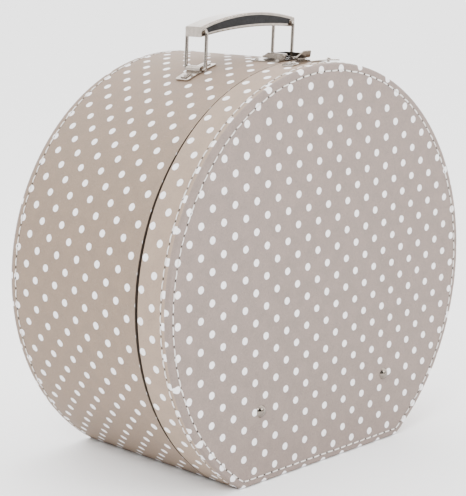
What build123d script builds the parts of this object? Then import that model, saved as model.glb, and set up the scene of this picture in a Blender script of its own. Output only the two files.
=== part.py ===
from build123d import *
import os
from math import asin, cos, degrees, radians, sin, sqrt

# Round hat box: a drum with a flat base, a deep body behind and a shallow lid in front.
# Millimetres, +Z up, +Y to the back. The origin is the middle of the flat base.

os.makedirs("parts", exist_ok=True)

# ---- Case: overall sizes
drum_radius = 170.0
drum_centre_z = 142.2
case_depth = 175.0
lid_depth = 33.2

# ---- Case: boards
wall = 2.5
panel = 3.0
panel_edge_radius = 2.2
seam_gap = 0.8
seam_bow = 2.2

# ---- Case: the dark lip inside the seam, and the linings
lip_thickness = 1.6
lip_clearance = 0.5
lip_into_lid = 7.0
lip_into_body = 13.0
lining_thickness = 0.8
soft_clearance = 0.3

# ---- Hinges under the base
hinge_spacing = 110.0
hinge_width = 30.0
hinge_leaf_length = 12.0
hinge_leaf_thickness = 0.8
hinge_barrel_radius = 1.25
hinge_pin_radius = 0.7
hinge_ground_clearance = 0.2
hinge_knuckle_relief = 0.55
hinge_middle_knuckle = 12.0
hinge_rivet_radius = 0.9
hinge_rivet_spacing = 18.0
running_clearance = 0.05

# ---- Domed rivets on the face, and the elastic strap that they hold inside the lid
face_rivet_spacing = 146.0
face_rivet_z = 56.5
face_rivet_radius = 4.8
face_rivet_height = 2.8
face_rivet_shank = 1.6
washer_radius = 4.5
washer_thickness = 0.8
strap_width = 18.0
strap_overhang = 12.0
strap_thickness = 0.8

# ---- Handle, which is turned a little about the drum's axis
handle_turn = 2.45
handle_half_angle = 16.5
handle_lean = 5.5
handle_y = 1.0
loop_wire_radius = 1.4
loop_bar_floor = 0.8
loop_side_gap = 0.5
loop_leg = 28.7
loop_tip = 4.4
grip_width = 17.2
grip_past_pivot = 3.8
grip_end_height = 7.8
grip_mid_height = 11.4
grip_bow = 5.4
grip_edge_radius = 1.2
inset_margin = 2.2
inset_depth = 1.4
eyelet_wall = 1.2
eyelet_depth = 3.2
eyelet_proud = 0.2
handle_plate_length = 33.0
handle_plate_width = 14.5
handle_plate_thickness = 1.5
tunnel_wall = 1.4
plate_boss = 6.4
plate_boss_height = 0.7
rivet_radius = 1.0
rivet_head_radius = 2.1
rivet_head_height = 0.9
head_clearance = 0.2
seat_clearance = 0.1

# ---- Latch on top of the case, over the seam (places are measured back from the front face)
latch_plate_start = 36.0
latch_plate_end = 66.0
latch_plate_width = 40.0
latch_plate_thickness = 1.0
latch_pivot_depth = 39.0
latch_pivot_rise = 2.9
latch_pin_radius = 0.8
ear_thickness = 1.2
ear_radius = 2.0
ear_length = 9.0
ear_foot_depth = 0.6
lever_half_width = 10.4
lever_sheet = 0.9
lever_start = 37.5
lever_end = 60.5
lever_height = 5.4
lever_lift = 1.2
lever_back_slope = 5.0
lever_curl_radius = 1.1
lever_curl_half_width = 6.0
lever_slot_past_pivot = 2.2
link_pivot_depth = 50.9
link_half_width = 7.2
link_bar = 1.7
link_thickness = 1.3
link_window_end = 30.6
link_front = 28.4
tongue_reach = 5.4
tongue_rise = 5.4
tongue_tip_half_width = 3.3
catch_start = 14.5
catch_end = 26.0
catch_width = 56.0
catch_thickness = 1.0
catch_radius = 261.0
catch_shift = 8.4
catch_tab_half_width = 4.5
catch_tab_end = 32.0
nib_half_width = 3.6
nib_thickness = 0.9
nib_height = 2.4

# ---- Sizes and places worked out from the values above
hinge_axis_z = hinge_barrel_radius + hinge_ground_clearance
hinge_relief = hinge_barrel_radius + hinge_knuckle_relief
loop_bar_rise = loop_wire_radius + loop_bar_floor
loop_bend = loop_wire_radius + 0.2
loop_leg_y = grip_width / 2 + loop_side_gap + loop_wire_radius
eyelet_radius = loop_wire_radius + eyelet_wall
tunnel_radius = loop_wire_radius + tunnel_wall
front_y = -case_depth / 2
back_y = case_depth / 2
seam_y = front_y + lid_depth
lid_edge_y = seam_y - seam_gap
panel_inner_front_y = front_y + panel
panel_inner_back_y = back_y - panel
top_z = drum_centre_z + drum_radius
hinge_axis_y = seam_y - seam_gap / 2
lip_front_y = seam_y - lip_into_lid
lip_back_y = seam_y + lip_into_body


def across(y):
    """The plane across the case at depth y, seen from the front: X to the right, Z up."""
    return Plane.XZ.offset(-y)


def drum_section(y, inset=0.0):
    """The case's section at depth y, drawn in by inset: a circle cut off by the flat base."""
    with BuildSketch(across(y), mode=Mode.PRIVATE) as section:
        with Locations((0, drum_centre_z)):
            Circle(drum_radius - inset)
        with Locations((0, inset)):
            Rectangle(2 * drum_radius, drum_radius, align=(Align.CENTER, Align.MAX), mode=Mode.SUBTRACT)
    return section.sketch


def ring_section(y, centre_z, inner_radius, outer_radius):
    """A flat ring about the line X = 0, Z = centre_z, at depth y."""
    with BuildSketch(across(y), mode=Mode.PRIVATE) as section:
        with Locations((0, centre_z)):
            Circle(outer_radius)
            Circle(inner_radius, mode=Mode.SUBTRACT)
    return section.sketch


def block(low, high):
    """A plain box between two corners."""
    size = [b - a for a, b in zip(low, high)]
    return Solid.make_box(*size, plane=Plane(origin=low))


def round_bar(start, end, radius):
    """A round bar between two points, for pins and for cutting their holes."""
    along = Vector(*end) - Vector(*start)
    return Solid.make_cylinder(radius, along.length, Plane(origin=start, z_dir=along))


def finish(piece, name):
    """Labels a finished piece and writes it out."""
    piece.part.label = name
    export_step(piece.part, f"parts/{name}.step")


# =====================================================================================
# Where the fasteners go
# =====================================================================================

# Hinges: both leaves of a hinge have the same two rivets, the same distance from the axis.
hinge_centres = [-hinge_spacing / 2, hinge_spacing / 2]
hinge_rivet_reach = (hinge_relief + hinge_leaf_length) / 2
hinge_leaf_bottom = hinge_axis_z - hinge_barrel_radius
hinge_leaf_top = hinge_leaf_bottom + hinge_leaf_thickness
hinge_rivet_top = wall - 0.1
hinge_rivet_x = [centre + side * hinge_rivet_spacing / 2 for centre in hinge_centres for side in (-1, 1)]


def hinge_pocket(side):
    """Cuts for both hinges in one half of the case: side is 1 for the body and -1 for the lid."""
    cuts = []
    inner = hinge_axis_y
    groove = sorted([inner, inner + side * hinge_relief])
    leaf = sorted([inner, inner + side * (hinge_leaf_length + running_clearance)])
    cuts.append(block((-drum_radius, groove[0], -1), (drum_radius, groove[1], hinge_axis_z + 0.1)))
    for centre in hinge_centres:
        low_x = centre - hinge_width / 2 - 0.3
        high_x = centre + hinge_width / 2 + 0.3
        cuts.append(block((low_x, groove[0], -1), (high_x, groove[1], wall + 1)))
        cuts.append(block((low_x, leaf[0], -1), (high_x, leaf[1], hinge_leaf_top + running_clearance)))
    rivet_y = inner + side * hinge_rivet_reach
    hole_radius = hinge_rivet_radius + running_clearance
    for x in hinge_rivet_x:
        cuts.append(round_bar((x, rivet_y, -1), (x, rivet_y, hinge_rivet_top + 0.05), hole_radius))
    return cuts


def rivet_line(x, y, radius):
    """A point at the given radius on the rivet that enters the drum at X = x, and its direction."""
    angle = asin(x / drum_radius)
    outward = Vector(sin(angle), 0, cos(angle))
    return Vector(0, y, drum_centre_z) + outward * radius, outward


def dome_rivet(x, y, radius):
    """A small domed rivet with its head at the given radius and its shank through the wall."""
    foot, outward = rivet_line(x, y, radius)
    depth = radius - drum_radius + wall - 0.2
    plane = Plane(origin=foot, z_dir=outward)
    ball_radius = (rivet_head_radius**2 + rivet_head_height**2) / (2 * rivet_head_height)
    ball_middle = foot + outward * (rivet_head_height - ball_radius)
    ball = Solid.make_sphere(ball_radius, Plane(origin=ball_middle, z_dir=outward))
    above = Solid.make_cylinder(2 * ball_radius, 2 * ball_radius, plane)
    shank = round_bar(foot - outward * depth, foot + outward * 0.2, rivet_radius)
    return ball.intersect(above)[0].fuse(shank)


def dome_rivet_hole(x, y):
    """The hole for a rivet's shank, through the wall and whatever is riveted to it."""
    foot, outward = rivet_line(x, y, drum_radius)
    low, high = foot - outward * (wall + 1), foot + outward * 6
    return round_bar(low, high, rivet_radius + running_clearance)


# Handle: its own plane has its origin on the drum's axis, X along the grip and Y outward.
turn = radians(handle_turn)
handle_plane = Plane(
    origin=(0, 0, drum_centre_z), x_dir=(cos(turn), 0, sin(turn)), z_dir=(0, -1, 0)
)
pivot_radius = drum_radius + loop_bar_rise
pivot_x = pivot_radius * sin(radians(handle_half_angle))
pivot_rise = pivot_radius * cos(radians(handle_half_angle))
lean = radians(handle_lean)
leg_run = loop_leg * sin(lean)
leg_climb = loop_leg * cos(lean)
handle_rivet_pitch = handle_plate_length / 2 - 5.5


def handle_point(x, rise, y=0.0):
    """A point given along the grip, outward from the drum's axis, and in depth from the grip's middle."""
    return handle_plane.from_local_coords(Vector(x, rise, -y - handle_y))


def handle_angle(side):
    """The angle from vertical, in degrees, of the plate on the given side of the drum."""
    return side * handle_half_angle - handle_turn


def plate_rivet_x(side):
    """Where the two rivets of a handle plate lie, as X at the drum's surface."""
    step = degrees(handle_rivet_pitch / drum_radius)
    return [drum_radius * sin(radians(handle_angle(side) + s * step)) for s in (-1, 1)]


handle_rivet_x = plate_rivet_x(-1) + plate_rivet_x(1)
latch_rivet_places = [
    (x, front_y + depth)
    for x in (-latch_plate_width / 2 + 4, latch_plate_width / 2 - 4)
    for depth in (latch_plate_start + 4.5, latch_plate_end - 4.5)
]
catch_centre_z = top_z + soft_clearance - sqrt(catch_radius**2 - catch_shift**2)
catch_rivet_y = front_y + (catch_start + catch_end) / 2
catch_rivet_x = [-catch_width / 2 + 8, catch_width / 2 - 8]

# =====================================================================================
# Case: body
# =====================================================================================

with BuildPart() as body_wall:
    extrude(drum_section(seam_y), amount=-(panel_inner_back_y - seam_y))
    extrude(drum_section(seam_y, wall), amount=-(panel_inner_back_y - seam_y), mode=Mode.SUBTRACT)
    add(hinge_pocket(1), mode=Mode.SUBTRACT)
    add([dome_rivet_hole(x, handle_y) for x in handle_rivet_x], mode=Mode.SUBTRACT)
    add([dome_rivet_hole(x, y) for x, y in latch_rivet_places], mode=Mode.SUBTRACT)
finish(body_wall, "body_wall")

with BuildPart() as back_panel:
    extrude(drum_section(panel_inner_back_y), amount=-panel)
    fillet(back_panel.faces().sort_by(Axis.Y)[-1].edges(), panel_edge_radius)
finish(back_panel, "back_panel")

with BuildPart() as inner_lip:
    lip_length = lip_back_y - lip_front_y
    lip_inset = wall + lip_clearance
    extrude(drum_section(lip_front_y, lip_inset), amount=-lip_length)
    extrude(drum_section(lip_front_y, lip_inset + lip_thickness), amount=-lip_length, mode=Mode.SUBTRACT)
    # Room for the hinge barrels, where they reach higher than the lip's underside.
    barrel_room = hinge_barrel_radius + soft_clearance / 2
    for centre in hinge_centres:
        room_half = hinge_width / 2 + soft_clearance
        add(block((centre - room_half, hinge_axis_y - barrel_room, 0),
                  (centre + room_half, hinge_axis_y + barrel_room, hinge_axis_z + barrel_room)),
            mode=Mode.SUBTRACT)
finish(inner_lip, "inner_lip")

with BuildPart() as body_lining:
    lining_inset = wall + soft_clearance
    lining_front_y = lip_back_y + soft_clearance
    lining_back_y = panel_inner_back_y - soft_clearance
    lining_length = lining_back_y - lining_front_y
    extrude(drum_section(lining_front_y, lining_inset), amount=-lining_length)
    extrude(
        drum_section(lining_front_y, lining_inset + lining_thickness),
        amount=-(lining_length - lining_thickness),
        mode=Mode.SUBTRACT,
    )
finish(body_lining, "body_lining")

# =====================================================================================
# Case: lid
# =====================================================================================

bow_span = drum_centre_z
bow_radius = (bow_span**2 + seam_bow**2) / (2 * seam_bow)

with BuildPart() as lid_wall:
    wall_length = lid_edge_y - panel_inner_front_y
    extrude(drum_section(panel_inner_front_y), amount=-wall_length)
    extrude(drum_section(panel_inner_front_y, wall), amount=-wall_length, mode=Mode.SUBTRACT)
    # The edge is drawn back in a long shallow bow, so the seam gapes a little at mid height.
    with Locations((0, lid_edge_y - seam_bow + bow_radius, drum_centre_z)):
        Cylinder(bow_radius, 3 * drum_radius, rotation=(0, 90, 0), mode=Mode.SUBTRACT)
    add(hinge_pocket(-1), mode=Mode.SUBTRACT)
    add([dome_rivet_hole(x, catch_rivet_y) for x in catch_rivet_x], mode=Mode.SUBTRACT)
finish(lid_wall, "lid_wall")

with BuildPart() as front_panel:
    extrude(drum_section(panel_inner_front_y), amount=panel)
    fillet(front_panel.faces().sort_by(Axis.Y)[0].edges(), panel_edge_radius)
    with Locations(across(front_y)):
        with Locations((-face_rivet_spacing / 2, face_rivet_z), (face_rivet_spacing / 2, face_rivet_z)):
            Hole(face_rivet_shank + running_clearance)
finish(front_panel, "front_panel")

lid_lining_y = panel_inner_front_y + soft_clearance
strap_y = lid_lining_y + lining_thickness + soft_clearance
washer_y = strap_y + strap_thickness + soft_clearance
face_rivet_x = [-face_rivet_spacing / 2, face_rivet_spacing / 2]

with BuildPart() as lid_lining:
    tray_length = lip_front_y - 2 - lid_lining_y
    tray_inset = lining_inset + lining_thickness
    extrude(drum_section(lid_lining_y, lining_inset), amount=-tray_length)
    extrude(
        drum_section(lid_lining_y + lining_thickness, tray_inset), amount=-tray_length, mode=Mode.SUBTRACT
    )
    with Locations(across(lid_lining_y)):
        with Locations(*[(x, face_rivet_z) for x in face_rivet_x]):
            Hole(face_rivet_shank + soft_clearance)
finish(lid_lining, "lid_lining")

with BuildPart() as lid_strap:
    with BuildSketch(across(strap_y)):
        with Locations((0, face_rivet_z)):
            RectangleRounded(face_rivet_spacing + 2 * strap_overhang, strap_width, 1.5)
        with Locations(*[(x, face_rivet_z) for x in face_rivet_x]):
            Circle(face_rivet_shank + soft_clearance, mode=Mode.SUBTRACT)
    extrude(amount=-strap_thickness)
finish(lid_strap, "lid_strap")

with BuildPart() as face_rivets:
    dome_ball = (face_rivet_radius**2 + face_rivet_height**2) / (2 * face_rivet_height)
    with BuildSketch(Plane.XY):
        with BuildLine():
            dome_top = (0, -face_rivet_height)
            dome_side = (face_rivet_radius, 0)
            RadiusArc(dome_top, dome_side, -dome_ball)
            shank_end = washer_y + washer_thickness - front_y
            Polyline(dome_side, (face_rivet_shank, 0), (face_rivet_shank, shank_end),
                     (0, shank_end), dome_top)
        make_face()
    revolve(axis=Axis.Y)
one_face_rivet = face_rivets.part
with BuildPart() as face_rivets:
    add([Pos(x, front_y, face_rivet_z) * one_face_rivet for x in face_rivet_x])
finish(face_rivets, "face_rivets")

with BuildPart() as face_rivet_washers:
    with BuildSketch(across(washer_y)):
        with Locations(*[(x, face_rivet_z) for x in face_rivet_x]):
            Circle(washer_radius)
            Circle(face_rivet_shank + running_clearance, mode=Mode.SUBTRACT)
    extrude(amount=-washer_thickness)
finish(face_rivet_washers, "face_rivet_washers")

# =====================================================================================
# Hinges
# =====================================================================================

knuckle_half = hinge_middle_knuckle / 2
knuckle_gap = 0.25
knuckle_end = knuckle_half + knuckle_gap
body_knuckles = [(-hinge_width / 2, -knuckle_end), (knuckle_end, hinge_width / 2)]
lid_knuckles = [(-knuckle_half, knuckle_half)]


def hinge_leaf(centre, side, knuckles):
    """One leaf: a flat plate in its pocket, and the knuckles that it curls into round the pin."""
    with BuildPart(mode=Mode.PRIVATE) as leaf:
        far_y = hinge_axis_y + side * hinge_leaf_length
        near_y = hinge_axis_y + side * hinge_relief
        low_y, high_y = sorted([near_y, far_y])
        add(block((centre - hinge_width / 2, low_y, hinge_leaf_bottom),
                  (centre + hinge_width / 2, high_y, hinge_leaf_top)))
        for start, end in knuckles:
            low_y, high_y = sorted([hinge_axis_y, near_y])
            add(block((centre + start, low_y, hinge_leaf_bottom), (centre + end, high_y, hinge_leaf_top)))
            add(round_bar((centre + start, hinge_axis_y, hinge_axis_z),
                          (centre + end, hinge_axis_y, hinge_axis_z), hinge_barrel_radius))
        bore = hinge_pin_radius + running_clearance
        add(round_bar((centre - hinge_width, hinge_axis_y, hinge_axis_z),
                      (centre + hinge_width, hinge_axis_y, hinge_axis_z), bore), mode=Mode.SUBTRACT)
        rivet_y = hinge_axis_y + side * hinge_rivet_reach
        for x in (centre - hinge_rivet_spacing / 2, centre + hinge_rivet_spacing / 2):
            add(round_bar((x, rivet_y, -1), (x, rivet_y, wall), hinge_rivet_radius + running_clearance),
                mode=Mode.SUBTRACT)
    return leaf


for place, centre in zip(("left", "right"), hinge_centres):
    finish(hinge_leaf(centre, 1, body_knuckles), f"hinge_leaf_body_{place}")
    finish(hinge_leaf(centre, -1, lid_knuckles), f"hinge_leaf_lid_{place}")
    with BuildPart() as hinge_pin:
        add(round_bar((centre - hinge_width / 2, hinge_axis_y, hinge_axis_z),
                      (centre + hinge_width / 2, hinge_axis_y, hinge_axis_z), hinge_pin_radius))
    finish(hinge_pin, f"hinge_pin_{place}")

for half, side in (("body", 1), ("lid", -1)):
    with BuildPart() as hinge_rivets:
        rivet_y = hinge_axis_y + side * hinge_rivet_reach
        for x in hinge_rivet_x:
            add(round_bar((x, rivet_y, hinge_leaf_bottom), (x, rivet_y, hinge_rivet_top), hinge_rivet_radius))
    finish(hinge_rivets, f"hinge_rivets_{half}")

# =====================================================================================
# Handle
# =====================================================================================

seat_radius = drum_radius + seat_clearance
plate_outer_radius = drum_radius + handle_plate_thickness

for place, side in (("left", -1), ("right", 1)):
    angle = radians(handle_angle(side))
    outward = Vector(sin(angle), 0, cos(angle))
    plate_top = Plane(
        origin=Vector(0, handle_y, drum_centre_z) + outward * (drum_radius - 4),
        x_dir=(cos(angle), 0, -sin(angle)),
        z_dir=outward,
    )
    bar_start = handle_point(side * pivot_x, pivot_rise, -handle_plate_width)
    bar_end = handle_point(side * pivot_x, pivot_rise, handle_plate_width)
    with BuildPart() as handle_plate:
        half_width = handle_plate_width / 2
        extrude(ring_section(handle_y - half_width, drum_centre_z, seat_radius, plate_outer_radius),
                amount=-handle_plate_width)
        with BuildSketch(plate_top):
            RectangleRounded(handle_plate_length, handle_plate_width, 2.5)
        extrude(amount=10, mode=Mode.INTERSECT)
        # An embossed square round each rivet, and the tunnel over the loop's bar.
        with BuildSketch(plate_top.offset(4 + handle_plate_thickness - 1.2)):
            with Locations((-handle_rivet_pitch, 0), (handle_rivet_pitch, 0)):
                RectangleRounded(plate_boss, plate_boss, 0.8)
        extrude(amount=1.2 + plate_boss_height - (1 - cos(handle_rivet_pitch / drum_radius)) * drum_radius)
        add(round_bar(handle_point(side * pivot_x, pivot_rise, -half_width),
                      handle_point(side * pivot_x, pivot_rise, half_width), tunnel_radius))
        add(round_bar(bar_start, bar_end, loop_wire_radius + running_clearance), mode=Mode.SUBTRACT)
        extrude(drum_section(front_y, -seat_clearance), amount=-case_depth, mode=Mode.SUBTRACT)
        add([dome_rivet_hole(x, handle_y) for x in plate_rivet_x(side)], mode=Mode.SUBTRACT)
    finish(handle_plate, f"handle_plate_{place}")

    with BuildPart() as handle_loop:
        leg_y = loop_leg_y
        tip_y = leg_y - loop_tip
        foot_x = side * pivot_x
        corners = [
            handle_point(foot_x + leg_run, pivot_rise + leg_climb, -tip_y),
            handle_point(foot_x + leg_run, pivot_rise + leg_climb, -leg_y),
            handle_point(foot_x, pivot_rise, -leg_y),
            handle_point(foot_x, pivot_rise, leg_y),
            handle_point(foot_x + leg_run, pivot_rise + leg_climb, leg_y),
            handle_point(foot_x + leg_run, pivot_rise + leg_climb, tip_y),
        ]
        with BuildLine() as wire:
            FilletPolyline(*corners, radius=loop_bend)
        with BuildSketch(Plane(origin=wire.line @ 0, z_dir=wire.line % 0)):
            Circle(loop_wire_radius)
        sweep()
    finish(handle_loop, f"handle_loop_{place}")

with BuildPart() as handle_rivets:
    boss_radius = plate_outer_radius + plate_boss_height
    for x in handle_rivet_x:
        add(dome_rivet(x, handle_y, boss_radius + head_clearance))
finish(handle_rivets, "handle_rivets")

# The grip, drawn from the side in the handle's plane: a bowed bar, deeper in the middle.
grip_x = leg_run
grip_end = pivot_x + grip_past_pivot
grip_line = pivot_rise + leg_climb


def grip_side(margin, y):
    """The grip's outline seen from the side, drawn in by margin, at depth y."""
    end_x = grip_end - margin
    end_half = grip_end_height / 2 - margin
    mid_half = grip_mid_height / 2 - margin
    drop = grip_bow * (margin / grip_end)
    with BuildSketch(handle_plane.offset(-y - handle_y), mode=Mode.PRIVATE) as outline:
        with BuildLine():
            left, right = grip_x - end_x, grip_x + end_x
            low, high = grip_line - end_half + drop, grip_line + end_half + drop
            ThreePointArc((left, high), (grip_x, grip_line + grip_bow + mid_half), (right, high))
            ThreePointArc((left, low), (grip_x, grip_line + grip_bow - mid_half), (right, low))
            Line((left, low), (left, high))
            Line((right, low), (right, high))
        make_face()
    return outline.sketch


grip_half = grip_width / 2
eyelet_ends = [
    (side * pivot_x + leg_run, face * (grip_half - eyelet_depth), face * (grip_half + eyelet_proud))
    for side in (-1, 1)
    for face in (-1, 1)
]

with BuildPart() as handle_grip:
    extrude(grip_side(0, grip_half), amount=grip_width)
    fillet(handle_grip.edges().filter_by(GeomType.CIRCLE), grip_edge_radius)
    for face in (-1, 1):
        floor_y = face * (grip_half - inset_depth)
        extrude(grip_side(inset_margin, floor_y), amount=-face * (inset_depth + 1), mode=Mode.SUBTRACT)
    for x, inner_y, outer_y in eyelet_ends:
        add(round_bar(handle_point(x, grip_line, inner_y), handle_point(x, grip_line, outer_y + outer_y),
                      eyelet_radius + 0.02), mode=Mode.SUBTRACT)
finish(handle_grip, "handle_grip")

for place, face in (("front", -1), ("back", 1)):
    with BuildPart() as grip_inset:
        floor_y = face * (grip_half - inset_depth + 0.02)
        extrude(grip_side(inset_margin + 0.05, floor_y), amount=-face * (inset_depth - 0.1))
        for x, inner_y, outer_y in eyelet_ends:
            add(round_bar(handle_point(x, grip_line, inner_y), handle_point(x, grip_line, outer_y),
                          eyelet_radius + 0.1), mode=Mode.SUBTRACT)
    finish(grip_inset, f"grip_inset_{place}")

with BuildPart() as grip_eyelets:
    for x, inner_y, outer_y in eyelet_ends:
        add(round_bar(handle_point(x, grip_line, inner_y), handle_point(x, grip_line, outer_y),
                      eyelet_radius))
    for x, inner_y, outer_y in eyelet_ends:
        add(round_bar(handle_point(x, grip_line, inner_y * 0.9), handle_point(x, grip_line, outer_y * 1.1),
                      loop_wire_radius + running_clearance), mode=Mode.SUBTRACT)
finish(grip_eyelets, "grip_eyelets")

# =====================================================================================
# Latch
# =====================================================================================

latch_pivot_y = front_y + latch_pivot_depth
latch_pivot_z = top_z + latch_pivot_rise
link_pivot_y = front_y + link_pivot_depth
plate_start_y = front_y + latch_plate_start
plate_end_y = front_y + latch_plate_end
ear_inner = lever_half_width + 0.3

with BuildPart() as latch_base_plate:
    extrude(ring_section(plate_start_y, drum_centre_z, seat_radius, drum_radius + latch_plate_thickness),
            amount=-(plate_end_y - plate_start_y))
    with BuildSketch(Plane.XY.offset(top_z - 6)):
        with Locations((0, (plate_start_y + plate_end_y) / 2)):
            RectangleRounded(latch_plate_width, plate_end_y - plate_start_y, 3)
    extrude(amount=12, mode=Mode.INTERSECT)
    # Two ears hold the lever's pins.
    for side in (-1, 1):
        ear_x = side * (ear_inner + ear_thickness / 2)
        foot_z = top_z - ear_foot_depth
        plate_z = top_z + latch_plate_thickness / 2
        ear_top_z = latch_pivot_z + ear_radius
        ear_front_y = latch_pivot_y - ear_radius
        ear_back_y = latch_pivot_y + ear_length
        with BuildSketch(Plane.YZ.offset(ear_x)):
            with BuildLine():
                Polyline(
                    (ear_front_y, latch_pivot_z), (ear_front_y, foot_z), (ear_back_y, foot_z),
                    (ear_back_y, plate_z), (latch_pivot_y + ear_radius, ear_top_z),
                    (latch_pivot_y, ear_top_z),
                )
                RadiusArc((latch_pivot_y, ear_top_z), (ear_front_y, latch_pivot_z), -ear_radius)
            make_face()
        extrude(amount=ear_thickness / 2, both=True)
    extrude(drum_section(front_y, -seat_clearance), amount=-case_depth, mode=Mode.SUBTRACT)
    pin_reach = ear_inner + ear_thickness + 1
    add(round_bar((-pin_reach, latch_pivot_y, latch_pivot_z), (pin_reach, latch_pivot_y, latch_pivot_z),
                  latch_pin_radius + running_clearance), mode=Mode.SUBTRACT)
    add([dome_rivet_hole(x, y) for x, y in latch_rivet_places],
        mode=Mode.SUBTRACT)
finish(latch_base_plate, "latch_base_plate")

with BuildPart() as latch_base_rivets:
    for x, y in latch_rivet_places:
        add(dome_rivet(x, y, drum_radius + latch_plate_thickness))
finish(latch_base_rivets, "latch_base_rivets")

with BuildPart() as latch_pins:
    for side in (-1, 1):
        inner_x = side * (lever_half_width - lever_sheet - 0.4)
        outer_x = side * (ear_inner + ear_thickness + 0.3)
        add(round_bar((inner_x, latch_pivot_y, latch_pivot_z), (outer_x, latch_pivot_y, latch_pivot_z),
                      latch_pin_radius))
finish(latch_pins, "latch_pins")

lever_top_z = top_z + lever_height
lever_bottom_z = top_z + lever_lift
lever_front_y = front_y + lever_start
lever_back_y = front_y + lever_end
nose_radius = latch_pivot_z - lever_bottom_z

with BuildPart() as latch_lever:
    with BuildSketch(Plane.YZ.offset(-lever_half_width)):
        with BuildLine():
            lever_outline = Polyline(
                (lever_back_y, lever_bottom_z), (lever_back_y, lever_bottom_z + 1.2),
                (lever_back_y - lever_back_slope, lever_top_z), (lever_front_y + 1, lever_top_z),
                (lever_front_y, lever_top_z - 1), (lever_front_y, latch_pivot_z),
            )
            ThreePointArc((lever_front_y, latch_pivot_z),
                          (latch_pivot_y - nose_radius * 0.75, latch_pivot_z - nose_radius * 0.62),
                          (latch_pivot_y, lever_bottom_z))
            Line((latch_pivot_y, lever_bottom_z), (lever_back_y, lever_bottom_z))
        make_face()
    extrude(amount=2 * lever_half_width)
    top_edges = latch_lever.edges().filter_by(GeomType.LINE).group_by(Axis.Z)[-1]
    fillet(top_edges.filter_by(Axis.Y), 0.8)
    # Hollow underneath, open below and at the front, with a slot that the link swings up through.
    hollow_half = lever_half_width - lever_sheet
    add(block((-hollow_half, lever_front_y - 5, lever_bottom_z - 5),
              (hollow_half, lever_back_y - lever_back_slope, lever_top_z - lever_sheet)), mode=Mode.SUBTRACT)
    slot_half = link_half_width + 0.5
    add(block((-slot_half, lever_front_y - 1, lever_bottom_z - 1),
              (slot_half, link_pivot_y + lever_slot_past_pivot, lever_top_z + 1)), mode=Mode.SUBTRACT)
    # The sheet is rolled at the back end, for a finger to lift.
    curl_z = lever_bottom_z + lever_curl_radius
    add(round_bar((-lever_curl_half_width, lever_back_y, curl_z),
                  (lever_curl_half_width, lever_back_y, curl_z), lever_curl_radius))
    for y, radius in ((latch_pivot_y, latch_pin_radius), (link_pivot_y, latch_pin_radius)):
        add(round_bar((-2 * lever_half_width, y, latch_pivot_z), (2 * lever_half_width, y, latch_pivot_z),
                      radius + running_clearance), mode=Mode.SUBTRACT)
finish(latch_lever, "latch_lever")

link_low_z = latch_pivot_z - link_thickness / 2
link_high_z = latch_pivot_z + link_thickness / 2
link_front_y = front_y + link_front
window_front_y = front_y + link_window_end

tongue_root_y = link_front_y + 1.0

with BuildPart() as latch_link:
    pin_end = lever_half_width + 0.2
    add(round_bar((-pin_end, link_pivot_y, latch_pivot_z), (pin_end, link_pivot_y, latch_pivot_z),
                  latch_pin_radius))
    with BuildSketch(Plane.XY.offset(link_low_z)):
        with Locations((0, (link_front_y + link_pivot_y) / 2)):
            Rectangle(2 * link_half_width, link_pivot_y - link_front_y)
        window_length = link_pivot_y - latch_pin_radius - window_front_y
        with Locations((0, window_front_y + window_length / 2)):
            Rectangle(2 * (link_half_width - link_bar), window_length, mode=Mode.SUBTRACT)
    extrude(amount=link_thickness)
    # The finger tongue: it tapers as it rises, and leans forward.
    with BuildSketch(Plane.YZ.offset(-link_half_width)):
        with BuildLine():
            tip_y = tongue_root_y - tongue_reach
            tip_z = link_low_z + tongue_rise
            tip_round = 0.4 * link_thickness
            Polyline((tongue_root_y + link_thickness, link_low_z), (tip_y + link_thickness, tip_z),
                     (tip_y + tip_round, tip_z + tip_round), (tip_y, tip_z), (link_front_y, link_low_z),
                     close=True)
        make_face()
    extrude(amount=2 * link_half_width)
    # The cut that tapers it runs through the link from front to back, above the flat frame.
    tongue_face = Plane(origin=(0, tip_y - 1, link_low_z), x_dir=(1, 0, 0), z_dir=(0, -1, 0))
    cut_top, cut_side = tongue_rise + 1, link_half_width + 1
    for side in (-1, 1):
        with BuildSketch(tongue_face):
            with BuildLine():
                Polyline((side * link_half_width, link_thickness), (side * tongue_tip_half_width, cut_top),
                         (side * cut_side, cut_top), (side * cut_side, link_thickness), close=True)
            make_face()
        extrude(amount=-(link_pivot_y - latch_pin_radius - tip_y), mode=Mode.SUBTRACT)
finish(latch_link, "latch_link")

catch_start_y = front_y + catch_start
catch_end_y = front_y + catch_end
nib_y = window_front_y + 0.25

with BuildPart() as latch_catch_plate:
    # A strip bent less than the drum and tipped a little, so that its right end stands proud.
    with BuildSketch(across(catch_start_y)):
        with Locations((catch_shift, catch_centre_z)):
            Circle(catch_radius + catch_thickness)
            Circle(catch_radius, mode=Mode.SUBTRACT)
    extrude(amount=-(catch_tab_end - catch_start))
    with BuildSketch(Plane.XY.offset(top_z - 10)):
        with Locations((0, (catch_start_y + catch_end_y) / 2)):
            RectangleRounded(catch_width, catch_end_y - catch_start_y, 2.5)
        with Locations((0, catch_end_y - 1)):
            Rectangle(2 * catch_tab_half_width, catch_tab_end - catch_end + 1,
                      align=(Align.CENTER, Align.MIN))
    extrude(amount=20, mode=Mode.INTERSECT)
    nib_root_z = top_z + soft_clearance + catch_thickness / 2
    add(block((-nib_half_width, nib_y, nib_root_z),
              (nib_half_width, nib_y + nib_thickness, nib_root_z + nib_height + catch_thickness / 2)))
    add([dome_rivet_hole(x, catch_rivet_y) for x in catch_rivet_x], mode=Mode.SUBTRACT)
finish(latch_catch_plate, "latch_catch_plate")

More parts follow.
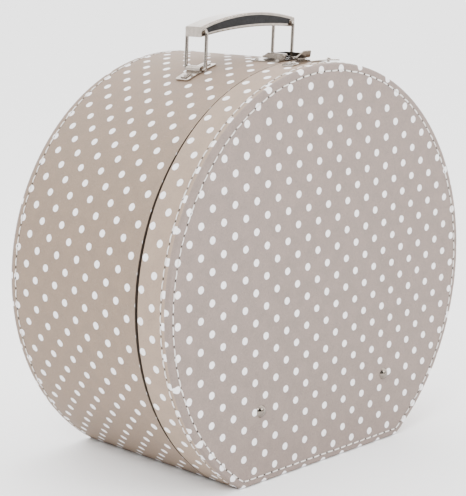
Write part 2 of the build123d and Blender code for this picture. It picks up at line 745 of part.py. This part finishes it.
with BuildPart() as latch_catch_rivets:
    for x in catch_rivet_x:
        stand_off = sqrt((catch_radius + catch_thickness) ** 2 - (x - catch_shift) ** 2) + catch_centre_z
        plate_radius = sqrt((stand_off - drum_centre_z) ** 2 + x**2)
        add(dome_rivet(x, catch_rivet_y, plate_radius + head_clearance))
finish(latch_catch_rivets, "latch_catch_rivets")
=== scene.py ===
import math
import random

import bmesh
import bpy
from mathutils import Matrix, Vector


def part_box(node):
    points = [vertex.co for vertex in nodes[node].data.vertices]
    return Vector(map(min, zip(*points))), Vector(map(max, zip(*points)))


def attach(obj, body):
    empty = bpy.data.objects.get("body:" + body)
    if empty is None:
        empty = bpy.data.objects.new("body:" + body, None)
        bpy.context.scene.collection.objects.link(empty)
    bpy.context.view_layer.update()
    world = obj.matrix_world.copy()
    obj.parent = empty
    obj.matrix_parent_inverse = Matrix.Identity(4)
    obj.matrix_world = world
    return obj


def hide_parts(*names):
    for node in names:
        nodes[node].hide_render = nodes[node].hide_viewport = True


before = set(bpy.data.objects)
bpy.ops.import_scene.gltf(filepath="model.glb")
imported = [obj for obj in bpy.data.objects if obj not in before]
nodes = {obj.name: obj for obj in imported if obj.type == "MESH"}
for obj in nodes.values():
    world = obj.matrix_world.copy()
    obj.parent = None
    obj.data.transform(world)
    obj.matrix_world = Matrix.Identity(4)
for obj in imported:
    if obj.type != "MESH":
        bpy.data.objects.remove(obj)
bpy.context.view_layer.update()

# Looks for a round hat box covered in dotted paper, with nickel hardware. Metres, in the row frame.

MM = 0.001
scene = bpy.context.scene

# ---------------------------------------------------------------------------------------
# Sizes, all read from the frame
# ---------------------------------------------------------------------------------------

body_low, body_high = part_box("body_wall")

drum_radius = (body_high.x - body_low.x) / 2
top_z = body_high.z
centre_z = top_z - drum_radius
front_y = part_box("front_panel")[0].y
back_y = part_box("back_panel")[1].y
half_base = math.sqrt(drum_radius**2 - centre_z**2)
base_angle = math.acos(-centre_z / drum_radius)
half_arc = drum_radius * base_angle
outline_length = 2 * half_arc + 2 * half_base

# Dots: half the pitch of the printed lattice, and where it starts on each surface.
FACE_STEP = 11.4 * MM
SIDE_STEP = 11.4 * MM
DOT_RADIUS = 2.85 * MM
DOT_EDGE = 0.16 * MM
INK_WANDER = 0.75 * MM
LATTICE_REACH = 400
BASE_BAND = 0.6 * MM
FACE_DOT_START = (-0.2 * MM, 0.0)
LID_DOT_START = (2.3 * MM, front_y + 4.5 * MM)
BODY_DOT_START = (1.35 * MM, front_y - 3.6 * MM)

# Thread
STITCH_PITCH = 8.2 * MM
STITCH_LENGTH = 6.3 * MM
STITCH_WIDTH = 1.15 * MM
STITCH_RISE = 0.42 * MM
HOLE_RADIUS = 0.85 * MM
HOLE_STRETCH = 1.35
FACE_INSET = 5.6 * MM
SIDE_INSET = 6.6 * MM
THREAD_PROUD = 0.64 * MM
THREAD_TWIST = 0.7 * MM

# Lining cloth and elastic
CLOTH = 0.8 * MM
PUCKER = 0.3 * MM
HEM = 0.25 * MM
STRAP_THICKNESS = 0.55 * MM
STRAP_RIB = 0.18 * MM
STRAP_FOLD = 0.07 * MM


# ---------------------------------------------------------------------------------------
# Node helpers
# ---------------------------------------------------------------------------------------

class Graph:
    """A small helper for writing a material's nodes as expressions."""

    def __init__(self, name):
        self.material = bpy.data.materials.new(name)
        self.material.use_nodes = True
        self.tree = self.material.node_tree
        self.tree.nodes.clear()
        self.output = self.add("ShaderNodeOutputMaterial")
        self.shader = self.add("ShaderNodeBsdfPrincipled")
        self.link(self.shader.outputs[0], self.output.inputs["Surface"])

    def add(self, kind, **settings):
        node = self.tree.nodes.new(kind)
        for key, value in settings.items():
            setattr(node, key, value)
        return node

    def link(self, source, target):
        self.tree.links.new(source, target)

    def put(self, value, socket):
        if isinstance(value, bpy.types.NodeSocket):
            self.link(value, socket)
        else:
            socket.default_value = value

    def math(self, operation, a, b=0.0, c=0.0):
        node = self.add("ShaderNodeMath", operation=operation)
        for value, socket in zip((a, b, c), node.inputs):
            self.put(value, socket)
        return node.outputs[0]

    def position(self):
        """The surface point in the part's own axes, as three sockets, in metres."""
        coordinates = self.add("ShaderNodeTexCoord")
        split = self.add("ShaderNodeSeparateXYZ")
        self.link(coordinates.outputs["Object"], split.inputs[0])
        return coordinates.outputs["Object"], split.outputs[0], split.outputs[1], split.outputs[2]

    def noise(self, vector, scale, detail=2.0, rough=0.5, distortion=0.0):
        node = self.add("ShaderNodeTexNoise")
        self.link(vector, node.inputs["Vector"])
        node.inputs["Scale"].default_value = scale
        node.inputs["Detail"].default_value = detail
        node.inputs["Roughness"].default_value = rough
        node.inputs["Distortion"].default_value = distortion
        return node.outputs["Fac"]

    def cells(self, vector, scale, feature="F1"):
        node = self.add("ShaderNodeTexVoronoi", feature=feature)
        self.link(vector, node.inputs["Vector"])
        node.inputs["Scale"].default_value = scale
        return node.outputs["Distance"]

    def combine(self, x, y, z):
        node = self.add("ShaderNodeCombineXYZ")
        for value, socket in zip((x, y, z), node.inputs):
            self.put(value, socket)
        return node.outputs[0]

    def mix(self, amount, a, b):
        node = self.add("ShaderNodeMix", data_type="RGBA")
        self.put(amount, node.inputs["Factor"])
        self.put(a, node.inputs[6])
        self.put(b, node.inputs[7])
        return node.outputs[2]

    def ramp(self, value, low, high, to_low=0.0, to_high=1.0):
        node = self.add("ShaderNodeMapRange", clamp=True)
        self.put(value, node.inputs["Value"])
        for number, name in zip((low, high, to_low, to_high), ("From Min", "From Max", "To Min", "To Max")):
            node.inputs[name].default_value = number
        return node.outputs[0]

    def bump(self, height, distance, strength=1.0):
        node = self.add("ShaderNodeBump")
        node.inputs["Strength"].default_value = strength
        node.inputs["Distance"].default_value = distance
        self.link(height, node.inputs["Height"])
        self.link(node.outputs[0], self.shader.inputs["Normal"])

    def set(self, **values):
        for name, value in values.items():
            self.put(value, self.shader.inputs[name.replace("_", " ")])


def rgb(red, green, blue):
    """A linear colour from sRGB numbers out of 255."""
    def linear(channel):
        share = channel / 255
        return share / 12.92 if share <= 0.04045 else ((share + 0.055) / 1.055) ** 2.4
    return (linear(red), linear(green), linear(blue), 1.0)


# ---------------------------------------------------------------------------------------
# Materials
# ---------------------------------------------------------------------------------------

def dotted_paper(name, flat, base, shift, step):
    """The covering: matt embossed paper with printed dots, on a flat panel or round the drum."""
    g = Graph(name)
    vector, x, y, z = g.position()
    if flat:
        along, across = x, z
    else:
        # Round the drum the dots follow the length of the arc, and carry on flat under the base.
        rise = g.math("SUBTRACT", z, centre_z)
        angle = g.math("ARCTAN2", x, rise)
        arc = g.math("MULTIPLY", angle, drum_radius)
        on_base = g.math("LESS_THAN", z, BASE_BAND)
        side = g.math("SIGN", x)
        corner = g.math("MULTIPLY", side, half_arc + half_base)
        below = g.math("SUBTRACT", corner, x)
        along = g.math("ADD", g.math("MULTIPLY", on_base, below),
                       g.math("MULTIPLY", g.math("SUBTRACT", 1.0, on_base), arc))
        across = y
    wobble = g.noise(vector, 420.0, 2.0)
    wander = g.math("MULTIPLY", g.math("SUBTRACT", wobble, 0.5), INK_WANDER)
    along = g.math("ADD", g.math("SUBTRACT", along, shift[0]), wander)
    across = g.math("SUBTRACT", g.math("SUBTRACT", across, shift[1]), wander)

    def nearest(offset):
        """Distance to the nearest dot of one square lattice, of twice the step."""
        parts = []
        for value in (along, across):
            moved = g.math("ADD", value, offset + LATTICE_REACH * step)
            wrapped = g.math("MODULO", moved, 2 * step)
            centred = g.math("SUBTRACT", wrapped, step)
            parts.append(g.math("MULTIPLY", centred, centred))
        return g.math("SQRT", g.math("ADD", *parts))

    distance = g.math("MINIMUM", nearest(step), nearest(0.0))
    dot = g.ramp(distance, DOT_RADIUS - DOT_EDGE, DOT_RADIUS + DOT_EDGE, 1.0, 0.0)

    # Printed ink lies a little unevenly; the paper is mottled, finely flecked and faintly soiled.
    mottle = g.noise(vector, 95.0, 4.0, 0.6)
    cloud = g.noise(vector, 9.0, 3.0, 0.5)
    fleck = g.noise(vector, 1150.0, 2.0, 0.7)
    dark = tuple(c * 0.90 for c in base[:3]) + (1.0,)
    light = tuple(min(1.0, c * 1.07) for c in base[:3]) + (1.0,)
    paper = g.mix(g.ramp(mottle, 0.32, 0.70), dark, light)
    paper = g.mix(g.ramp(cloud, 0.35, 0.72, 0.0, 0.22), paper, light)
    paper = g.mix(g.ramp(fleck, 0.56, 0.74, 0.0, 0.30), paper, rgb(172, 158, 147))
    paper = g.mix(g.ramp(fleck, 0.30, 0.42, 0.34, 0.0), paper, rgb(78, 66, 58))
    ink = g.mix(g.ramp(fleck, 0.28, 0.50, 0.45, 0.0), rgb(250, 249, 252), rgb(214, 206, 200))
    g.set(Base_Color=g.mix(dot, paper, ink), Metallic=0.0)
    g.set(Specular_IOR_Level=0.34)
    g.set(Roughness=g.ramp(mottle, 0.3, 0.7, 0.60, 0.74))
    grain = g.math("ADD", g.math("MULTIPLY", fleck, 0.6), g.math("MULTIPLY", mottle, 0.5))
    grain = g.math("ADD", grain, g.math("MULTIPLY", dot, 0.12))
    g.bump(grain, 0.28 * MM, 0.65)
    return g.material


def nickel(name, colour, rough, brushed):
    """Bright plated metal with fine rolling marks, faint smears and small scratches."""
    g = Graph(name)
    vector, x, y, z = g.position()
    smear = g.noise(vector, 260.0, 3.0, 0.6)
    lines = g.noise(g.combine(g.math("MULTIPLY", x, brushed[0]), g.math("MULTIPLY", y, brushed[1]),
                              g.math("MULTIPLY", z, brushed[2])), 90.0, 2.0, 0.5)
    scratch = g.cells(vector, 900.0, "DISTANCE_TO_EDGE")
    worn = tuple(c * 0.78 for c in colour[:3]) + (1.0,)
    g.set(Base_Color=g.mix(g.ramp(smear, 0.42, 0.70), colour, worn), Metallic=1.0)
    g.set(Roughness=g.ramp(smear, 0.30, 0.75, rough, rough + 0.08))
    fine = g.math("ADD", g.math("MULTIPLY", lines, 0.6), g.ramp(scratch, 0.0, 0.05, 0.0, 0.2))
    g.bump(fine, 0.03 * MM, 0.35)
    return g.material


def woven(name, colour, thread, gloss=0.15):
    """Plain woven cloth: two sets of threads that pass over and under, with slubs. Where threads dip under,
    the colour is darker: painted shade.
    """
    g = Graph(name)
    vector, x, y, z = g.position()
    pitch = math.pi / thread
    warp = g.math("SINE", g.math("MULTIPLY", g.math("ADD", x, y), pitch))
    weft = g.math("SINE", g.math("MULTIPLY", g.math("SUBTRACT", z, y), pitch))
    weave = g.math("MULTIPLY", warp, weft)
    slub = g.noise(vector, 220.0, 3.0, 0.6)
    dark = tuple(c * 0.66 for c in colour[:3]) + (1.0,)
    # Painted shade: the weave's dips are darker.
    shade = g.mix(g.ramp(weave, -0.7, 0.7), dark, colour)
    g.set(Base_Color=g.mix(g.ramp(slub, 0.4, 0.75, 0.0, 0.4), shade, dark))
    g.set(Roughness=0.88, Specular_IOR_Level=gloss, Sheen_Weight=0.25, Sheen_Roughness=0.5)
    g.bump(g.math("ADD", weave, slub), 0.2 * MM, 0.7)
    return g.material


def grained_black(name):
    """The grip's insets: black grained leathercloth."""
    g = Graph(name)
    vector, x, y, z = g.position()
    pebble = g.cells(vector, 950.0)
    tone = g.noise(vector, 140.0, 3.0)
    g.set(Base_Color=g.mix(g.ramp(tone, 0.35, 0.7), rgb(14, 13, 14), rgb(28, 26, 27)))
    g.set(Roughness=g.ramp(pebble, 0.0, 0.8, 0.38, 0.60), Specular_IOR_Level=0.22)
    g.bump(pebble, 0.22 * MM, 0.6)
    return g.material


def plain_board(name, colour, rough=0.85):
    """Board in one colour: a fibrous matt surface. Here it carries painted shade, on the inner lip and the
    wall edges.
    """
    g = Graph(name)
    vector, x, y, z = g.position()
    fibre = g.noise(vector, 700.0, 4.0, 0.7, 0.6)
    dark = tuple(c * 0.6 for c in colour[:3]) + (1.0,)
    g.set(Base_Color=g.mix(g.ramp(fibre, 0.35, 0.7), dark, colour), Roughness=rough, Specular_IOR_Level=0.25)
    g.bump(fibre, 0.15 * MM, 0.6)
    return g.material


def thread_cotton(name):
    """White twisted sewing thread, darker in the grooves of its twist: painted shade."""
    g = Graph(name)
    vector, x, y, z = g.position()
    total = g.math("ADD", g.math("ADD", x, y), z)
    twist = g.math("SINE", g.math("MULTIPLY", total, 2 * math.pi / THREAD_TWIST))
    # Painted shade: stripes along the twist are darker.
    g.set(Base_Color=g.mix(g.ramp(twist, -1.0, 1.0), rgb(214, 207, 200), rgb(246, 243, 240)))
    g.set(Roughness=0.7, Specular_IOR_Level=0.3, Sheen_Weight=0.2)
    g.bump(twist, 0.1 * MM, 0.5)
    return g.material


def painted_hole_shade(name):
    """Painted shade for the inside of a needle hole."""
    g = Graph(name)
    vector, x, y, z = g.position()
    speck = g.noise(vector, 1500.0, 2.0)
    g.set(Base_Color=g.mix(g.ramp(speck, 0.3, 0.7), rgb(24, 18, 15), rgb(44, 35, 30)), Roughness=0.9)
    g.bump(speck, 0.1 * MM, 0.4)
    return g.material


FACE_TINT = rgb(134, 119, 111)
SIDE_TINT = rgb(132, 113, 97)
LID_TINT = rgb(150, 130, 113)
paper_face = dotted_paper("dotted_paper_face", True, FACE_TINT, FACE_DOT_START, FACE_STEP)
paper_lid = dotted_paper("dotted_paper_lid", False, LID_TINT, LID_DOT_START, SIDE_STEP)
paper_body = dotted_paper("dotted_paper_body", False, SIDE_TINT, BODY_DOT_START, SIDE_STEP)
bright = nickel("nickel_bright", rgb(160, 151, 142), 0.10, (1.0, 0.15, 1.0))
# A darker copy of the bright nickel for the face rivets and latch: painted dark reflection.
nickel_dark_reflection = nickel("nickel_painted_dark_reflection", rgb(132, 123, 114), 0.14, (1.0, 0.2, 1.0))
steel = nickel("steel_hinge", rgb(186, 182, 176), 0.28, (0.2, 1.0, 1.0))
black_inset = grained_black("grained_black")
# Near-black board on the inner lip: painted shade for the shadow in the seam gap.
lip_painted_shade = plain_board("lip_painted_shade_board", rgb(22, 20, 20))
# Darker brown board for the walls' end faces and insides: painted shade, so the seam reads as a dark line.
seam_painted_shade = plain_board("seam_painted_shade", rgb(74, 64, 56))
lining = woven("lining_cotton", rgb(214, 203, 190), 0.55 * MM)
elastic = woven("strap_elastic", rgb(232, 224, 214), 0.9 * MM, 0.3)
thread = thread_cotton("stitch_thread")
needle = painted_hole_shade("needle_hole_painted_shade")


def paint(name, material):
    """Gives a CAD node its material."""
    piece = nodes[name]
    piece.data.materials.clear()
    piece.data.materials.append(material)


def paint_wall(name, covering):
    """The covering goes round the outside of a wall; its edges and its inside are darker plain board, painted
    shade for the dark seam line.
    """
    paint(name, covering)
    wall = nodes[name]
    wall.data.materials.append(seam_painted_shade)
    for polygon in wall.data.polygons:
        centre = wall.matrix_world @ polygon.center
        facing = wall.matrix_world.to_3x3() @ polygon.normal
        outward = Vector((centre.x, 0, centre.z - centre_z)).dot(Vector((facing.x, 0, facing.z)))
        # End faces and inward faces take the painted seam shade.
        if abs(facing.y) > 0.7 or outward < 0:
            polygon.material_index = 1


for name in ("front_panel", "back_panel"):
    paint(name, paper_face)
paint_wall("lid_wall", paper_lid)
paint_wall("body_wall", paper_body)
# The lip's near-black colour is painted shade.
paint("inner_lip", lip_painted_shade)
for name in ("handle_loop_left", "handle_loop_right", "handle_grip", "grip_eyelets",
             "handle_plate_left", "handle_plate_right", "handle_rivets", "latch_catch_plate",
             "latch_catch_rivets", "face_rivet_washers"):
    paint(name, bright)
# These parts take the darker nickel, a painted dark reflection.
for name in ("face_rivets", "latch_base_plate", "latch_base_rivets", "latch_pins", "latch_lever",
             "latch_link"):
    paint(name, nickel_dark_reflection)
for name in nodes:
    if name.startswith("hinge_"):
        paint(name, steel)
for name in ("grip_inset_front", "grip_inset_back"):
    paint(name, black_inset)


# ---------------------------------------------------------------------------------------
# Stitching
# ---------------------------------------------------------------------------------------

def outline_point(distance, inset):
    """The point and outward direction at a distance round the case's outline, drawn in by inset.

    Distance runs clockwise from the top. Returns X, Z and the outward X and Z."""
    distance = distance % outline_length
    if distance <= half_arc:
        angle = distance / drum_radius
    elif distance >= outline_length - half_arc:
        angle = (distance - outline_length) / drum_radius
    else:
        x = half_base - (distance - half_arc)
        limit = math.sqrt((drum_radius - inset) ** 2 - (centre_z - inset) ** 2)
        return x * limit / half_base, inset, 0.0, -1.0
    radius = drum_radius - inset
    x, z = radius * math.sin(angle), centre_z + radius * math.cos(angle)
    return x, max(z, inset), math.sin(angle), math.cos(angle)


def add_stitch(build, start, end, normal, width, rise):
    """One stitch: a short rounded length of thread that dives into the board at both ends."""
    along = end - start
    length = along.length
    along.normalize()
    side = normal.cross(along).normalized()
    rings, around = 7, 6
    grid = []
    for i in range(rings):
        t = i / (rings - 1)
        arch = math.sin(math.pi * t)
        centre = start + along * (length * t) + normal * (rise * (arch ** 0.5) - 0.35 * rise)
        thick = width / 2 * (0.62 + 0.38 * arch ** 0.5)
        ring = []
        for k in range(around):
            turn = 2 * math.pi * k / around
            offset = side * math.cos(turn) * thick + normal * math.sin(turn) * thick * 0.62
            ring.append(build.verts.new(centre + offset))
        grid.append(ring)
    for lower, upper in zip(grid, grid[1:]):
        for k in range(around):
            following = (k + 1) % around
            build.faces.new((lower[k], lower[following], upper[following], upper[k]))
    build.faces.new(list(reversed(grid[0])))
    build.faces.new(grid[-1])


def add_hole(build, centre, normal, along, radius):
    """The puckered mouth of a needle hole: a low ring-shaped dimple lying on the surface, coloured dark as
    painted shade.
    """
    side = normal.cross(along).normalized()
    around = 8
    rim, floor = [], []
    for k in range(around):
        turn = 2 * math.pi * k / around
        spoke = side * math.cos(turn) * 0.8 + along * math.sin(turn) * HOLE_STRETCH
        rim.append(build.verts.new(centre + spoke * radius - normal * 0.02 * MM))
        floor.append(build.verts.new(centre + spoke * radius * 0.7 + normal * 0.07 * MM))
    for k in range(around):
        following = (k + 1) % around
        build.faces.new((rim[k], rim[following], floor[following], floor[k]))
    build.faces.new(floor)
    build.faces.new(list(reversed(rim)))


def finish_mesh(build, name, material, body):
    """Turns a bmesh into a shaded piece that rides on a body."""
    bmesh.ops.recalc_face_normals(build, faces=build.faces)
    mesh = bpy.data.meshes.new(name)
    build.to_mesh(mesh)
    build.free()
    for polygon in mesh.polygons:
        polygon.use_smooth = True
    piece = bpy.data.objects.new(name, mesh)
    scene.collection.objects.link(piece)
    mesh.materials.append(material)
    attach(piece, body)
    return piece


def stitch_line(name, body, place, seed):
    """A line of stitches and needle holes all round the case.

    place(distance) gives the point and the surface's outward direction there."""
    rng = random.Random(seed)
    threads, holes = bmesh.new(), bmesh.new()
    count = round(outline_length / STITCH_PITCH)
    pitch = outline_length / count
    gap = pitch - STITCH_LENGTH
    for i in range(count):
        begin = i * pitch + gap / 2 + rng.uniform(-0.25, 0.25) * MM
        stop = begin + STITCH_LENGTH + rng.uniform(-0.3, 0.3) * MM
        start, normal = place(begin)
        end, end_normal = place(stop)
        drift = (end - start).cross(normal).normalized() * rng.uniform(-0.22, 0.22) * MM
        middle = (normal + end_normal).normalized()
        width = STITCH_WIDTH * rng.uniform(0.9, 1.1)
        add_stitch(threads, start + drift, end - drift, middle, width, STITCH_RISE)
        hole, hole_normal = place(begin - gap / 2)
        along = (end - start).normalized()
        # Each hole is a dark dimple: painted shade.
        add_hole(holes, hole + drift * 0.5, hole_normal, along, HOLE_RADIUS * rng.uniform(0.8, 1.15))
    finish_mesh(threads, f"{name}_thread", thread, body)
    finish_mesh(holes, f"{name}_holes", needle, body)


def on_flat(y, outward, inset, sunk=0.0):
    """Places a line on a flat panel, facing the front or the back, pulled in by sunk."""
    def place(distance):
        x, z, _, _ = outline_point(distance, inset)
        return Vector((x, y - outward * sunk, z)), Vector((0, outward, 0))
    return place


def on_side(y):
    """Places a line on the side wall at depth y. Under the base it is pulled in, clear of the floor."""
    def place(distance):
        x, z, out_x, out_z = outline_point(distance, 0.0)
        return Vector((x, y, max(z, THREAD_PROUD))), Vector((out_x, 0, out_z))
    return place


stitch_line("face_stitches", "lid", on_flat(front_y, -1, FACE_INSET), 11)
stitch_line("lid_side_stitches", "lid", on_side(front_y + SIDE_INSET), 12)
stitch_line("back_stitches", "case_body", on_flat(back_y, 1, FACE_INSET, THREAD_PROUD / 2), 13)
stitch_line("body_side_stitches", "case_body", on_side(back_y - SIDE_INSET), 14)


# ---------------------------------------------------------------------------------------
# Linings and elastic
# ---------------------------------------------------------------------------------------

def two_sided(rows, closed, capped=False):
    """A thin closed cloth from rows of pairs, one point on its front and one on its back.

    closed joins the ends of each row, and capped fills the first row instead of leaving a hole."""
    build = bmesh.new()
    grid = [[(build.verts.new(front), build.verts.new(back)) for front, back in row] for row in rows]
    count = len(grid[0])
    spans = range(count if closed else count - 1)
    for lower, upper in zip(grid, grid[1:]):
        for i in spans:
            j = (i + 1) % count
            build.faces.new((lower[i][0], lower[j][0], upper[j][0], upper[i][0]))
            build.faces.new((lower[i][1], upper[i][1], upper[j][1], lower[j][1]))
    if capped:
        build.faces.new([front for front, _ in grid[0]])
        build.faces.new([back for _, back in reversed(grid[0])])
    for row in (grid[-1:] if capped else (grid[0], grid[-1])):
        for i in spans:
            j = (i + 1) % count
            build.faces.new((row[i][0], row[i][1], row[j][1], row[j][0]))
    if not closed:
        for lower, upper in zip(grid, grid[1:]):
            for i in (0, count - 1):
                build.faces.new((lower[i][0], upper[i][0], upper[i][1], lower[i][1]))
    return build


def puckers(rng, around):
    """Small gathers round a glued cloth: their height, at each place round it."""
    waves = [(rng.randint(30, 95), rng.uniform(0, math.tau), rng.uniform(0.3, 1.0)) for _ in range(6)]
    most = sum(weight for _, _, weight in waves)
    return [
        sum(weight * (0.5 + 0.5 * math.sin(math.tau * turns * i / around + phase))
            for turns, phase, weight in waves) / most
        for i in range(around)
    ]


def lining_wall(name, body, start_y, end_y, inset, node, seed):
    """Cloth glued round the inside of the wall, gathered at its open edge, with a rolled hem."""
    rng = random.Random(seed)
    around, steps = 360, 14
    gathers = puckers(rng, around)
    rows = []
    for j in range(steps + 1):
        share = j / steps
        y = start_y + (end_y - start_y) * share
        hem = HEM if j == 1 else 0.0
        row = []
        for i in range(around):
            distance = outline_length * i / around
            fold = PUCKER * gathers[i] * (1 - 0.7 * share) + hem
            outer, inner = outline_point(distance, inset), outline_point(distance, inset + CLOTH + fold)
            row.append((Vector((inner[0], y, inner[1])), Vector((outer[0], y, outer[1]))))
        rows.append(row)
    piece = finish_mesh(two_sided(rows, True), name, lining, body)
    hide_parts(node)


def lining_panel(name, body, y, inward, inset, node, seed):
    """Cloth over the inside of a flat panel, a little slack in the middle."""
    rng = random.Random(seed)
    around, rings = 180, 22
    gathers = puckers(rng, around)
    rows = []
    for j in range(rings + 1):
        share = (j + 0.2) / (rings + 0.2)
        row = []
        for i in range(around):
            x, z, _, _ = outline_point(outline_length * i / around, inset)
            px, pz = x * share, centre_z + (z - centre_z) * share
            slack = PUCKER * (gathers[i] * share**2 + 0.7 * math.cos(math.pi * share / 2))
            row.append((Vector((px, y + inward * (CLOTH + slack), pz)), Vector((px, y, pz))))
        rows.append(row)
    piece = finish_mesh(two_sided(rows, True, capped=True), name, lining, body)
    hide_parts(node)


def elastic_strap(name, body, node):
    """A ribbed elastic band across the inside of the lid, its ends folded and riveted."""
    low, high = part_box(node)
    length, width = high.x - low.x, high.z - low.z
    along, across, ribs = 150, 54, 9
    rows = []
    for j in range(across + 1):
        share = j / across
        rib = 0.5 + 0.5 * math.cos(math.tau * ribs * share)
        row = []
        for i in range(along + 1):
            x = low.x + length * i / along
            end = min(x - low.x, high.x - x)
            narrow = 0.94 + 0.06 * min(1.0, max(0.0, 1 - (end - 8 * MM) / (20 * MM)))
            z = (low.z + high.z) / 2 + width * (share - 0.5) * narrow
            thick = STRAP_THICKNESS + STRAP_RIB * rib
            if end < 5 * MM:
                thick += STRAP_FOLD
            row.append((Vector((x, low.y + thick, z)), Vector((x, low.y, z))))
        rows.append(row)
    piece = finish_mesh(two_sided(rows, False), name, elastic, body)
    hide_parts(node)


lining_low, lining_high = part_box("body_lining")
tray_low, tray_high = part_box("lid_lining")
wall_gap = lining_low.z
lining_wall("body_lining_wall", "case_body", lining_low.y, lining_high.y - CLOTH, wall_gap, "body_lining", 21)
lining_panel("body_lining_back", "case_body", lining_high.y, -1, wall_gap + CLOTH, "body_lining", 22)
lining_wall("lid_lining_wall", "lid", tray_high.y, tray_low.y + CLOTH, wall_gap, "lid_lining", 23)
lining_panel("lid_lining_front", "lid", tray_low.y, 1, wall_gap + CLOTH, "lid_lining", 24)
elastic_strap("lid_elastic", "lid", "lid_strap")


# ---------------------------------------------------------------------------------------
# Floor, light and camera
# ---------------------------------------------------------------------------------------

FLOOR_REACH = 40.0
FLOOR_DROP = 0.4 * MM


def make_floor():
    """A flat pale floor that reaches past the top of the camera's view."""
    build = bmesh.new()
    corners = ((-1, -1), (1, -1), (1, 1), (-1, 1))
    build.faces.new([build.verts.new((x * FLOOR_REACH, y * FLOOR_REACH, 0.0)) for x, y in corners])
    mesh = bpy.data.meshes.new("floor")
    build.to_mesh(mesh)
    build.free()
    floor = bpy.data.objects.new("floor", mesh)
    scene.collection.objects.link(floor)
    g = Graph("floor_white")
    vector, x, y, z = g.position()
    tone = g.noise(vector, 3.0, 2.0)
    g.set(Base_Color=g.mix(tone, (0.95, 0.95, 0.95, 1.0), (0.97, 0.97, 0.97, 1.0)), Roughness=0.9)
    mesh.materials.append(g.material)
    floor.location.z = -FLOOR_DROP


def make_light(name, energy, size, place, aim, colour=(1.0, 1.0, 1.0)):
    data = bpy.data.lights.new(name, "AREA")
    data.energy = energy
    data.shape = "SQUARE"
    data.size = size
    data.color = colour
    light = bpy.data.objects.new(name, data)
    scene.collection.objects.link(light)
    light.location = place
    light.rotation_euler = (Vector(aim) - Vector(place)).to_track_quat("-Z", "Y").to_euler()


make_floor()


def make_world():
    """A studio: bright behind and above the case, dim in front of it, so that bright metal has contrast."""
    world = bpy.data.worlds.new("studio")
    scene.world = world
    world.use_nodes = True
    tree = world.node_tree
    light = tree.nodes["Background"]
    light.inputs["Color"].default_value = (1.0, 1.0, 1.0, 1.0)
    direction = tree.nodes.new("ShaderNodeTexCoord")
    toward_backdrop = tree.nodes.new("ShaderNodeVectorMath")
    toward_backdrop.operation = "DOT_PRODUCT"
    toward_backdrop.inputs[1].default_value = (0.58, 0.58, 0.57)
    strength = tree.nodes.new("ShaderNodeMapRange")
    strength.inputs["From Min"].default_value = -0.25
    strength.inputs["From Max"].default_value = 0.55
    strength.inputs["To Min"].default_value = 0.12
    strength.inputs["To Max"].default_value = 4.2
    tree.links.new(direction.outputs["Generated"], toward_backdrop.inputs[0])
    tree.links.new(toward_backdrop.outputs["Value"], strength.inputs["Value"])
    tree.links.new(strength.outputs[0], light.inputs["Strength"])


make_world()
aim = (0.0, 0.0, centre_z)
make_light("key", 34.0, 0.8, (-1.5, -0.8, 1.5), aim)
make_light("front", 22.0, 0.9, (0.5, -2.0, 1.1), aim)

# Camera: placed round the case's centre line, at the height and distance of a product shot.
CAMERA_AZIMUTH = math.radians(-46.0801)
CAMERA_ELEVATION = math.radians(11.3518)
CAMERA_ROLL = math.radians(0.4722)
CAMERA_DISTANCE = 6.9737 * drum_radius
CAMERA_TARGET = Vector((-0.2181 * drum_radius, front_y + 0.3840 * drum_radius, 0.9804 * drum_radius))
FOCAL_LENGTH = 110.38

camera_data = bpy.data.cameras.new("camera")
camera_data.lens = FOCAL_LENGTH
camera_data.sensor_width = 36.0
camera_data.clip_end = 50.0
camera = bpy.data.objects.new("camera", camera_data)
scene.collection.objects.link(camera)
toward_camera = Vector((
    math.sin(CAMERA_AZIMUTH) * math.cos(CAMERA_ELEVATION),
    -math.cos(CAMERA_AZIMUTH) * math.cos(CAMERA_ELEVATION),
    math.sin(CAMERA_ELEVATION),
))
ahead = -toward_camera
level_right = ahead.cross(Vector((0, 0, 1))).normalized()
level_up = level_right.cross(ahead)
right = math.cos(CAMERA_ROLL) * level_right + math.sin(CAMERA_ROLL) * level_up
up = -math.sin(CAMERA_ROLL) * level_right + math.cos(CAMERA_ROLL) * level_up
turn = Matrix((right, up, toward_camera)).transposed().to_4x4()
camera.matrix_world = Matrix.Translation(CAMERA_TARGET + toward_camera * CAMERA_DISTANCE) @ turn
scene.camera = camera
